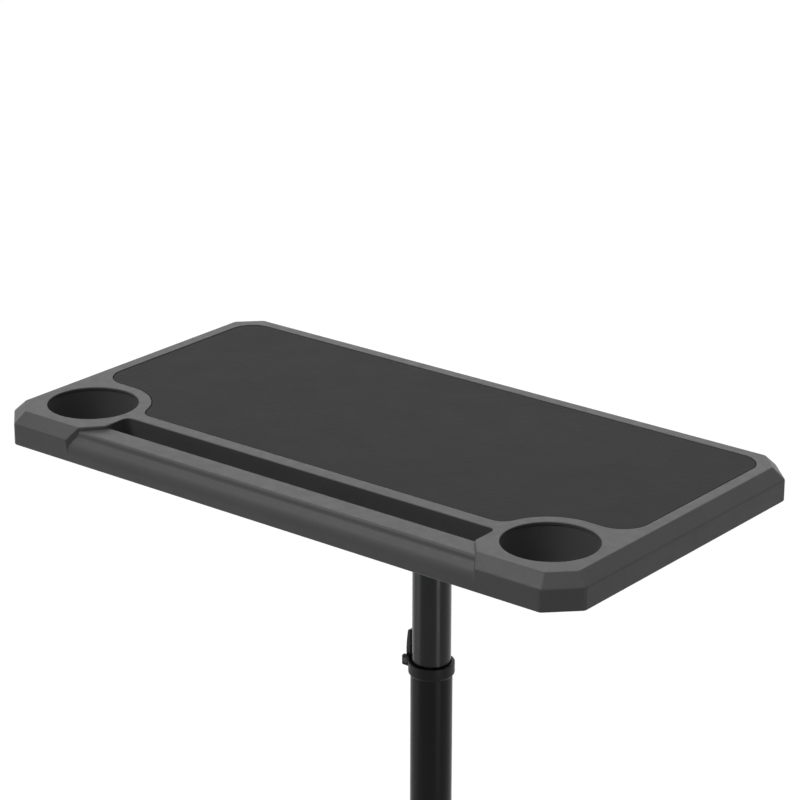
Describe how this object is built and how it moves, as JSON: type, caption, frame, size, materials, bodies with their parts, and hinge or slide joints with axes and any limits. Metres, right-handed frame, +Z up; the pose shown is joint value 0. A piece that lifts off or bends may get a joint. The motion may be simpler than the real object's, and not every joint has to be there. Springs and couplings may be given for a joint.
{
  "type": "bike trainer desk",
  "caption": "Height-adjustable standing desk with bevelled tray, mat, cup holes, tablet slot and wrist rest on a clamped telescopic column and a castored H-base.",
  "frame": {"origin": "on the floor, on the axis of the column, which is the middle of the wheeled base", "axes": "+Z up; +X to the rider's right; +Y away from the rider"},
  "size_m": [0.64, 0.52, 1],
  "materials": {
    "tray_plastic": "satin moulded, fine grain",
    "black_plastic": "moulded, matt",
    "mat_rubber": "matt sheet",
    "column_paint": "satin powder coat",
    "base_paint": "satin powder coat",
    "wheel_rubber": "soft grey-black tread",
    "zinc_steel": "zinc plated",
    "black_steel": "black oxide"
  },
  "bodies": {
    "base": {"outer_tube": "column_paint", "clamp_collar": "black_plastic", "clamp_pin": "black_steel", "clamp_nut": "black_steel", "pressure_pad": "black_plastic", "column_foot": "base_paint", "foot_bolt_1": "black_steel", "foot_bolt_2": "black_steel", "foot_bolt_3": "black_steel", "foot_bolt_4": "black_steel", "base_crossbar": "base_paint", "rail_left": "base_paint", "rail_right": "base_paint", "rail_bolt_left_front": "black_steel", "rail_bolt_left_rear": "black_steel", "rail_bolt_right_front": "black_steel", "rail_bolt_right_rear": "black_steel", "end_cap_left_front": "black_plastic", "end_cap_left_rear": "black_plastic", "end_cap_right_front": "black_plastic", "end_cap_right_rear": "black_plastic", "caster_stem_left_front": "zinc_steel", "caster_stem_left_rear": "zinc_steel", "caster_stem_right_front": "zinc_steel", "caster_stem_right_rear": "zinc_steel"},
    "column_glide": {"glide_bush": "black_plastic"},
    "desk": {"tabletop_shell": "tray_plastic", "desk_mat": "mat_rubber", "underside_pan": "black_plastic", "cup_well_left": "black_plastic", "cup_well_right": "black_plastic", "pan_screw_1": "black_steel", "pan_screw_2": "black_steel", "pan_screw_3": "black_steel", "pan_screw_4": "black_steel", "mount_plate": "base_paint", "mount_screw_1": "black_steel", "mount_screw_2": "black_steel", "mount_screw_3": "black_steel", "mount_screw_4": "black_steel", "inner_tube": "column_paint", "socket_screw": "black_steel"},
    "cam_lever": {"clamp_lever": "black_plastic"},
    "castor_left_front": {"caster_fork_left_front": "black_plastic", "caster_axle_left_front": "zinc_steel"},
    "wheel_left_front": {"caster_wheel_left_front": "wheel_rubber"},
    "castor_left_rear": {"caster_fork_left_rear": "black_plastic", "caster_axle_left_rear": "zinc_steel"},
    "wheel_left_rear": {"caster_wheel_left_rear": "wheel_rubber"},
    "castor_right_front": {"caster_fork_right_front": "black_plastic", "caster_axle_right_front": "zinc_steel"},
    "wheel_right_front": {"caster_wheel_right_front": "wheel_rubber"},
    "castor_right_rear": {"caster_fork_right_rear": "black_plastic", "caster_axle_right_rear": "zinc_steel"},
    "wheel_right_rear": {"caster_wheel_right_rear": "wheel_rubber"},
    "brake_left": {"brake_pedal_left": "tray_plastic"},
    "brake_right": {"brake_pedal_right": "tray_plastic"}
  },
  "joints": [
    {"name": "height_slide", "type": "slide", "parent": "base", "child": "column_glide", "axis": [0, 0, 1], "range_m": [-0.13, 0.22]},
    {"name": "desk_turn", "type": "hinge", "parent": "column_glide", "child": "desk", "pos_m": [0, 0, 0.9], "axis": [0, 0, 1], "continuous": true},
    {"name": "clamp_lever_swing", "type": "hinge", "parent": "base", "child": "cam_lever", "pos_m": [-0.0244, 0, 0.7505], "axis": [0, -1, 0], "range_deg": [0, 110]},
    {"name": "swivel_left_front", "type": "hinge", "parent": "base", "child": "castor_left_front", "pos_m": [-0.24, -0.212, 0.055], "axis": [0, 0, 1], "continuous": true},
    {"name": "roll_left_front", "type": "hinge", "parent": "castor_left_front", "child": "wheel_left_front", "pos_m": [-0.24, -0.196, 0.025], "axis": [1, 0, 0], "continuous": true},
    {"name": "swivel_left_rear", "type": "hinge", "parent": "base", "child": "castor_left_rear", "pos_m": [-0.24, 0.212, 0.055], "axis": [0, 0, 1], "continuous": true},
    {"name": "roll_left_rear", "type": "hinge", "parent": "castor_left_rear", "child": "wheel_left_rear", "pos_m": [-0.24, 0.228, 0.025], "axis": [1, 0, 0], "continuous": true},
    {"name": "swivel_right_front", "type": "hinge", "parent": "base", "child": "castor_right_front", "pos_m": [0.24, -0.212, 0.055], "axis": [0, 0, 1], "continuous": true},
    {"name": "roll_right_front", "type": "hinge", "parent": "castor_right_front", "child": "wheel_right_front", "pos_m": [0.24, -0.196, 0.025], "axis": [1, 0, 0], "continuous": true},
    {"name": "swivel_right_rear", "type": "hinge", "parent": "base", "child": "castor_right_rear", "pos_m": [0.24, 0.212, 0.055], "axis": [0, 0, 1], "continuous": true},
    {"name": "roll_right_rear", "type": "hinge", "parent": "castor_right_rear", "child": "wheel_right_rear", "pos_m": [0.24, 0.228, 0.025], "axis": [1, 0, 0], "continuous": true},
    {"name": "brake_press_left", "type": "hinge", "parent": "castor_left_front", "child": "brake_left", "pos_m": [-0.24, -0.192, 0.0535], "axis": [-1, 0, 0], "range_deg": [0, 12]},
    {"name": "brake_press_right", "type": "hinge", "parent": "castor_right_front", "child": "brake_right", "pos_m": [0.24, -0.192, 0.0535], "axis": [-1, 0, 0], "range_deg": [0, 12]}
  ]
}
